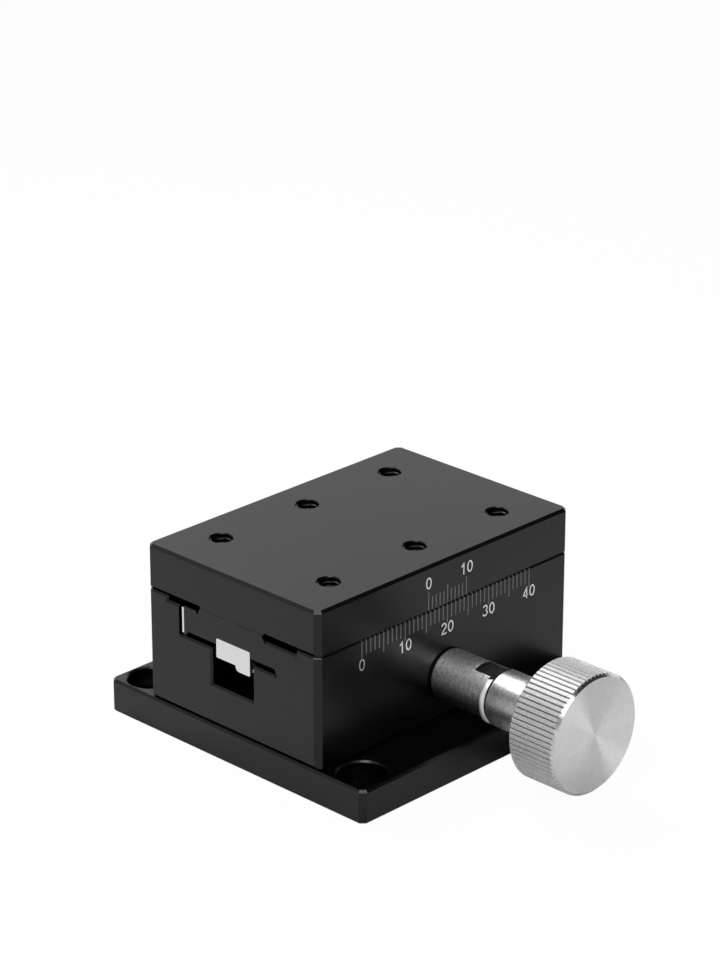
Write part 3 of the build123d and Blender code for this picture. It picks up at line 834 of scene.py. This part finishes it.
# %% Turn the washer
washer_low, washer_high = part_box("thrust_washer")
washer_axis = axis_of(washer_low, washer_high)
washer_radius = (washer_high.z - washer_low.z) / 2
washer_bore = min((v.co - washer_axis).yz.length
                  for v in frame["nodes"]["thrust_washer"].data.vertices)
slit_start, slit_radius = washer_high.x - 0.22 * mm, washer_radius - 1.40 * mm
near_edge = 0.08 * mm
washer_section = [(washer_low.x, washer_bore), (washer_low.x, washer_radius - near_edge),
                  (washer_low.x + near_edge, washer_radius),
                  (washer_low.x + 0.15 * mm, washer_radius),
                  (slit_start - 0.34 * mm, washer_radius - 0.06 * mm),
                  (slit_start - 0.16 * mm, washer_radius - 0.16 * mm),
                  (slit_start, washer_radius - 0.32 * mm), (slit_start, slit_radius),
                  (washer_high.x, slit_radius), (washer_high.x, washer_bore)]
flat_depth = 0.55 * mm
washer_flats = (sleeve_high.z - flat_depth, sleeve_low.z + flat_depth)
washer = turn_ring("thrust_ring", washer_section, washer_axis, 96, washer_flats, washer_finish())
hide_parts("thrust_washer")

# %% [markdown]
# ## Floor, background and light
# The photograph has a plain white background and soft light from above. The floor is matt white
# paper. For camera rays it is mixed with a plain glow, so it reads as white and still shows a soft
# shadow.

# %% Floor
camera_glow, glow_strength = 0.96, 1.01
paper_speckle = 2.0 * mm
paper_dark, paper_light = grey(0.86), grey(0.90)


def seen_by(board, *kinds):
    """1 for rays of the kinds named, and 0 for the others."""
    rays = board.outputs(board.node("ShaderNodeLightPath"))
    seen = rays[kinds[0]]
    for kind in kinds[1:]:
        seen = board.math("MAXIMUM", seen, rays[kind])
    return seen


def white_floor():
    material, board, place = new_finish("white_floor")
    speckle = board.noise(place, paper_speckle, 2.0)
    paper = board.node("ShaderNodeBsdfDiffuse", inputs={
        "Color": board.mix(speckle, paper_dark, paper_light)})
    glow = board.node("ShaderNodeEmission", inputs={"Strength": glow_strength})
    mixed = board.node("ShaderNodeMixShader", inputs={
        0: camera_glow * seen_by(board, "Is Camera Ray"), 1: paper, 2: glow})
    board.node("ShaderNodeOutputMaterial", inputs={"Surface": mixed})
    return material


reach = 0.9
floor_mesh = bpy.data.meshes.new("floor")
floor_mesh.from_pydata([(-reach, -reach, 0), (reach, -reach, 0), (reach, reach, 0),
                        (-reach, reach, 0)], [], [(0, 1, 2, 3)])
floor_mesh.materials.append(white_floor())
floor = add_piece("floor", floor_mesh)

# %% [markdown]
# ### World
# Polished black shows what stands round it, so the world is a plain room. The camera sees it
# white. Mirror rays see it white near the horizon and dark above, because that is what draws the
# dark lines along the chamfers. The left wall is lighter than the right one, the white ends lower
# at the back right, and the camera's stand is dark in front. For all other rays the room sheds a
# low plain fill light. An image of a studio would do the same, but these ramps need no file.

# %% World
fill_light, horizon_light = 0.08, 0.92
left_wall, right_wall, wall_span = 0.42, 0.04, (-0.6, 0.2)
bright_below, dark_above = math.radians(19), math.radians(38)
right_drop, drop_span, back_span = math.radians(12), (-0.2, 0.3), (-0.35, 0.0)
stand_shade, stand_core, stand_edge = 0.2, math.radians(14), math.radians(20)


def white_world():
    world = bpy.data.worlds.new("white_studio")
    world.use_nodes = True
    world.node_tree.nodes.clear()
    board = Board(world.node_tree)
    direction = board.node("ShaderNodeTexCoord", output="Generated")
    to_right, to_back, to_top = board.parts(direction)
    walls = board.ramp(to_right, *wall_span, left_wall, right_wall)
    drop = board.ramp(to_right, *drop_span, 0.0, right_drop) * board.ramp(to_back, *back_span)
    room = board.ramp(to_top + drop, math.sin(bright_below), math.sin(dark_above),
                      horizon_light, walls)
    toward_camera = board.vector("DOT_PRODUCT", direction, to_camera, 1)
    room = room * board.ramp(toward_camera, math.cos(stand_edge), math.cos(stand_core),
                             1.0, stand_shade)
    mirrors = seen_by(board, "Is Glossy Ray", "Is Transmission Ray")
    seen = seen_by(board, "Is Camera Ray")
    strength = seen + (1 - seen) * (mirrors * room + (1 - mirrors) * fill_light)
    sky = board.node("ShaderNodeBackground", inputs={"Color": grey(1.0), "Strength": strength})
    board.node("ShaderNodeOutputWorld", inputs={"Surface": sky})
    print(world.name, "has", len(world.node_tree.nodes), "nodes")
    return world


bpy.context.scene.world = white_world()
bpy.context.scene.view_settings.view_transform = "Standard"

# %% [markdown]
# ### Lamps
# The highlights on the knob say where the lamps stood. One round lamp high on the left lights the
# object and the top of the hub, one at the front right draws the bright line on the knob's chamfer,
# and one above the front gives the sleeve its streak. Round lamps keep the highlights' ends soft.

# %% Lamps
lamp_aim = Vector((38, 0, 15)) * mm


def add_lamp(name, direction, distance, width, power):
    """Round lamp that looks at the knob's hub from a direction."""
    lamp = bpy.data.lights.new(name, "AREA")
    lamp.shape = "DISK"
    lamp.size = width
    lamp.energy = power
    holder = bpy.data.objects.new(name, lamp)
    facing = (-direction).to_track_quat("-Z", "Y").to_matrix().to_4x4()
    place = lamp_aim + direction.normalized() * distance
    holder.matrix_world = Matrix.Translation(place) @ facing
    bpy.context.scene.collection.objects.link(holder)
    print(name, round(width / mm), "mm wide,", round(distance / mm), "mm away,", power, "W")


add_lamp("key_lamp", Vector((-0.65, 0.06, 0.76)), 0.38, 0.26, 0.72)
add_lamp("side_lamp", Vector((0.73, -0.27, 0.63)), 0.7, 0.36, 1.0)
add_lamp("top_lamp", Vector((0.20, -0.50, 0.84)), 0.6, 0.30, 1.2)

# %% [markdown]
# ## Hand the pieces to the model's bodies
# Each new piece rides on the body that carries it, so the vernier moves with the table.

# %% Ride
for piece, body, slot in (
        (base_marks, "base", "black_anodised"), (base_numbers, "base", "black_anodised"),
        (vernier_marks, "table", "black_anodised"), (vernier_numbers, "table", "black_anodised"),
        (threads, "table", "black_anodised"), (washer, "base", "bright_steel")):
    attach(piece, body)
    print(piece.name, "rides on", body)
